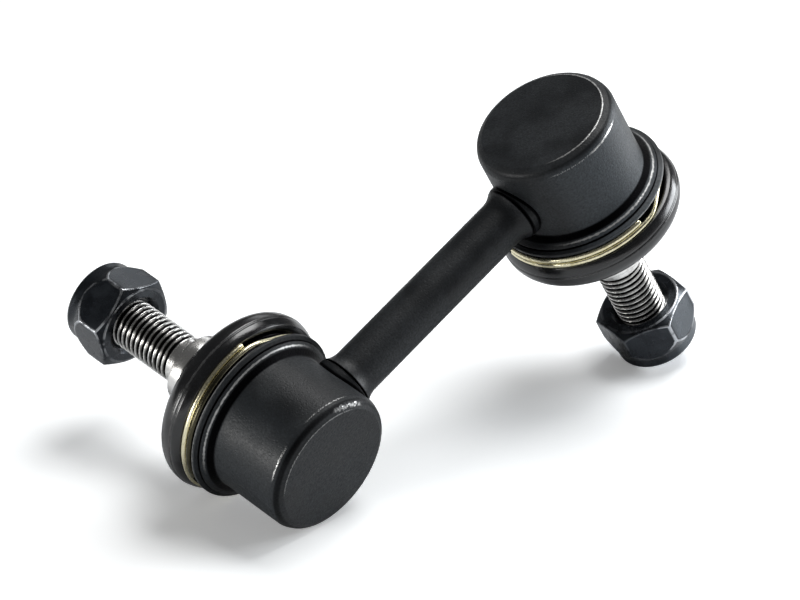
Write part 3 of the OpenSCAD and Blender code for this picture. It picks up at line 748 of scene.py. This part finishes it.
def addThread(bm):
    s = stud
    turns = math.ceil((s["threadTop"] - s["threadFoot"]) / s["pitch"]) + 2
    drawOutline(bm, [(p[0], p[1] + s["threadFoot"] - 1.5 * s["pitch"], *p[2:]) for p in threadOutline()])
    bmesh.ops.spin(bm, geom=bm.verts[:] + bm.edges[:], cent=(0, 0, 0), axis=(0, 0, 1), angle=math.tau,
                   steps=s["steps"], dvec=(0, 0, s["pitch"] * mm / s["steps"]))
    firstTurn = bm.verts[:] + bm.edges[:] + bm.faces[:]
    for n in range(1, turns):
        made = bmesh.ops.duplicate(bm, geom=firstTurn)["geom"]
        bmesh.ops.translate(bm, verts=[g for g in made if isinstance(g, bmesh.types.BMVert)],
                            vec=(0, 0, n * s["pitch"] * mm))
    bmesh.ops.remove_doubles(bm, verts=bm.verts, dist=weldDist * mm)
    for v in bm.verts:  # the bevel at the end of the thread
        reach = math.hypot(v.co.x, v.co.y)
        most = (s["shankR"] - max(0, v.co.z / mm - s["threadTop"] + s["endBevel"])) * mm
        if reach > most > 0:
            v.co.x, v.co.y = v.co.x * most / reach, v.co.y * most / reach
    for height, way in ((s["threadFoot"], -1), (s["threadTop"], 1)):
        bmesh.ops.bisect_plane(bm, geom=bm.verts[:] + bm.edges[:] + bm.faces[:],
                               plane_co=(0, 0, height * mm), plane_no=(0, 0, way), clear_outer=True)
    rim = [e for e in bm.edges
           if e.is_boundary and all(abs(v.co.z / mm - s["threadTop"]) < weldDist for v in e.verts)]
    key, bevel, top, deep = s["keyFlats"], s["keyBevel"], s["threadTop"], s["threadTop"] - s["keyDeep"]
    growRings(bm, rim, [
        lambda a: (hexReach(a, key) + bevel, top), lambda a: (hexReach(a, key), top - bevel),
        lambda a: (hexReach(a, key), deep), lambda a: (0.0, deep - s["keyPoint"])])


def makeStud(end):
    bm = bmesh.new()
    addThread(bm)
    shaft = bmesh.new()
    addShaft(shaft)
    joined = bpy.data.meshes.new("shaft")
    shaft.to_mesh(joined)
    bm.from_mesh(joined)
    shaft.free()
    bpy.data.meshes.remove(joined)
    closeUp(bm)
    steel = brightSteel(f"stud {end} steel", rootShade=stud["rootShade"])
    keepPiece(f"stud_{end}_threaded", bm, endSpace(end), steel, f"stud_{end}",
              [f"stud_{end}"], sharp=28)


for end in "ab":
    makeStud(end)
print("studs made")

# The nuts: a hexagon beveled at both ends and a round collar with the nylon ring's pocket

nut = {"flats": 17.0, "high": 8.4, "bearingR": 8.0, "slope": 30, "crownSlope": 64, "boreR": 5.05,
       "sink": 1.2, "collarR": 8.4, "collarTop": 10.99, "collarRound": 1.3, "collarSteps": 8, "mouthR": 5.8,
       "pocketR": 6.55, "pocketFoot": 8.58, "pocketTop": 10.48, "turn": 38.5,
       "foot": {"a": 43.5, "b": 41.3}, "edgeRound": 0.2, "edgeSteps": 3, "edgeWear": 0.5, "steps": 72,
       # the faces of each nut that get the painted sheen
       "paintedSheenSide": {"a": {"Middle": 270, "Half": 36, "Strength": 0.25},
                    "b": {"Middle": 30, "Half": 36, "Strength": 0.85}},
       "wornSide": {"a": {"Middle": 214, "Half": 78}, "b": {"Middle": 22, "Half": 62}}}


def makeNut(end):
    n = nut
    rise, crown = math.tan(math.radians(n["slope"])), math.tan(math.radians(n["crownSlope"]))

    def low(angle, share=1.0):  # on the bevel at the bearing face: share 0 is the face's edge, 1 the hexagon
        reach = (hexReach(angle, n["flats"]) - n["bearingR"]) * share
        return n["bearingR"] + reach, reach * rise

    def high(angle, share=1.0):  # the same on the bevel at the collar
        reach = (hexReach(angle, n["flats"]) - n["collarR"]) * share
        return n["collarR"] + reach, n["high"] - reach * crown

    def onFlat(edge, up):
        return lambda a: (edge(a)[0], edge(a)[1] + up)

    collar = arcPoints(n["collarR"] - n["collarRound"], n["collarTop"] - n["collarRound"], n["collarRound"],
                       0, 90, n["collarSteps"])
    rings = [lambda a: (n["boreR"] + n["sink"], 0), lambda a: (n["bearingR"] - n["edgeWear"], 0),
             lambda a: low(a, 0.0), lambda a: low(a, 0.3), lambda a: low(a, 0.7), low,
             onFlat(low, n["edgeWear"]), onFlat(high, -n["edgeWear"]), high, lambda a: high(a, 0.7),
             lambda a: high(a, 0.3), lambda a: high(a, 0.0)]
    rings += [lambda a, p=p: p for p in collar]
    rings += [lambda a, p=p: p for p in (
        (n["mouthR"], n["collarTop"]), (n["mouthR"], n["pocketTop"]), (n["pocketR"], n["pocketTop"]),
        (n["pocketR"], n["pocketFoot"]), (n["boreR"], n["pocketFoot"]), (n["boreR"], n["sink"]))]
    bm = bmesh.new()
    lift = Matrix.Translation((0, 0, n["sink"] * mm))
    bmesh.ops.create_circle(bm, segments=n["steps"], radius=n["boreR"] * mm, matrix=lift)
    loops = growRings(bm, bm.edges[:], rings)
    corner = n["flats"] / 2 / math.cos(math.pi / 6)
    onCorner = {v for loop in loops[5:9] for v in loop[0]
                if math.hypot(v.co.x, v.co.y) / mm > corner - 0.01}
    ridges = [e for e in bm.edges if e.verts[0] in onCorner and e.verts[1] in onCorner]
    edge = bm.verts.layers.float.new("edge")
    made = bmesh.ops.bevel(bm, geom=ridges + loops[2][1] + loops[5][1] + loops[8][1],
                           offset=n["edgeRound"] * mm, offset_type="OFFSET", affect="EDGES",
                           segments=n["edgeSteps"], profile=0.5, material=-1)
    for v in made["verts"]:
        v[edge] = 1.0
    closeUp(bm)
    space = (endSpace(end) @ Matrix.Translation((0, 0, n["foot"][end] * mm))
             @ Matrix.Rotation(math.radians(n["turn"]), 4, "Z"))
    steel = blackOxide(f"nut {end} oxide", n["paintedSheenSide"][end], n["wornSide"][end])
    keepPiece(f"nut_{end}_hexagon", bm, space, steel, f"nut_{end}", [f"nut_{end}"])


for end in "ab":
    makeNut(end)
print("nuts made")

# Inner pieces keep their CAD form and get their finish here

innerFinishes = {
    "ball_seat": plainPlastic("seat acetal", (0.80, 0.78, 0.70, 1), (0.66, 0.64, 0.56, 1), 0.38),
    "nut_insert": plainPlastic("insert nylon", (0.10, 0.19, 0.42, 1), (0.07, 0.14, 0.34, 1), 0.42),
    "seat_retainer": brightSteel("retainer steel", objectPlace, False),
    "boot_neck_ring": brightSteel("neck ring steel", objectPlace, False),
    "ball": brightSteel("ball steel", objectPlace, False)}

for name, material in innerFinishes.items():
    for end in "ab":
        mesh = frame["nodes"][f"{name}_{end}"].data
        mesh.materials.clear()
        mesh.materials.append(material)
print("inner pieces finished")

# Camera, floor and light. Places are in metres, angles in degrees, lamp powers in watts

camera = {"place": (-0.41694, -0.51046, 0.37982), "azimuth": 39.386, "elevation": 28.418, "roll": -1.571,
          "lens": 173.03, "sensor": 36.0, "clipEnd": 20}
studio = {"world": 0.08, "floorSize": 6.0, "floorColor": (0.93, 0.945, 0.96, 1), "floorRough": 0.9,
          "floorSeen": (1.58, 1.61, 1.62, 1), "floorLift": 0.22, "nearFloor": 0.10, "farFloor": 0.34}
lamps = {
    "overhead": {"place": (0.20, 0.0, 0.52), "size": (0.36, 0.30), "power": 2.2, "color": (1, 1, 1)},
    "right": {"place": (0.56, -0.23, 0.16), "size": (0.40, 0.28), "power": 3.3, "color": (0.94, 0.97, 1)},
    "left": {"place": (-0.60, 0.17, 0.09), "size": (0.26, 0.16), "power": 1.6, "color": (1, 0.99, 0.97)},
    "back": {"place": (0.48, 0.42, 0.32), "size": (0.28, 0.22), "power": 0.22, "color": (0.96, 0.98, 1)}}
target = Vector((0, 0, 0.03))


def makeCamera():
    data = bpy.data.cameras.new("camera")
    data.lens, data.sensor_width = camera["lens"], camera["sensor"]
    data.clip_end = camera["clipEnd"]
    made = bpy.data.objects.new("camera", data)
    scene.collection.objects.link(made)
    turn = (Matrix.Rotation(-math.radians(camera["azimuth"]), 4, "Z")
            @ Matrix.Rotation(math.radians(90 - camera["elevation"]), 4, "X")
            @ Matrix.Rotation(math.radians(camera["roll"]), 4, "Z"))
    made.matrix_world = Matrix.Translation(camera["place"]) @ turn
    scene.camera = made


def makeLamps():
    for name, lamp in lamps.items():
        data = bpy.data.lights.new(name, "AREA")
        data.shape, data.size, data.size_y = "RECTANGLE", *lamp["size"]
        data.energy, data.color = lamp["power"], lamp["color"]
        made = bpy.data.objects.new(name, data)
        scene.collection.objects.link(made)
        made.location = lamp["place"]
        made.rotation_euler = (target - Vector(lamp["place"])).to_track_quat("-Z", "Y").to_euler()


def makeFloor():
    bm = bmesh.new()
    bmesh.ops.create_grid(bm, x_segments=1, y_segments=1, size=studio["floorSize"] / 2)
    mesh = bpy.data.meshes.new("floor")
    bm.to_mesh(mesh)
    bm.free()
    floor = bpy.data.objects.new("floor", mesh)
    scene.collection.objects.link(floor)
    material, tree, shader = startMaterial("floor white")
    path = addNode(tree, "LightPath", {}).outputs
    # the camera sees it exposed more than the object does, so only the deep part of the shadow is left
    color = blendColors(tree, path["Is Camera Ray"], studio["floorColor"], studio["floorSeen"])
    fill(tree, shader, {"Base Color": color, "Roughness": studio["floorRough"], "Specular IOR Level": 0.0})
    seen = strongest(tree, [path[f"Is {kind} Ray"] for kind in ("Camera", "Glossy", "Transmission")])
    # the floor is plain white away from the object, and keeps the object's shadow beside it
    away = calcVector(tree, "LENGTH", addNode(tree, "TexCoord", {}).outputs["Object"]).outputs["Value"]
    far = remap(tree, away, studio["nearFloor"], studio["farFloor"])
    near = times(tree, minus(tree, 1.0, far), studio["floorLift"])
    lift = plus(tree, times(tree, seen, far), times(tree, path["Is Camera Ray"], near))
    white = addNode(tree, "Emission", {"Color": (1, 1, 1, 1), "Strength": 1.0}).outputs[0]
    lifted = addNode(tree, "MixShader", {0: lift, 1: shader.outputs[0], 2: white}).outputs[0]
    tree.links.new(lifted, tree.nodes["Material Output"].inputs["Surface"])
    mesh.materials.append(material)


def makeWorld():
    world = bpy.data.worlds.new("studio")
    world.use_nodes = True
    scene.world = world
    tree = world.node_tree
    fill(tree, tree.nodes["Background"], {"Color": (1, 1, 1, 1), "Strength": studio["world"]})


makeCamera()
makeLamps()
makeFloor()
makeWorld()
print("camera, floor and light made")
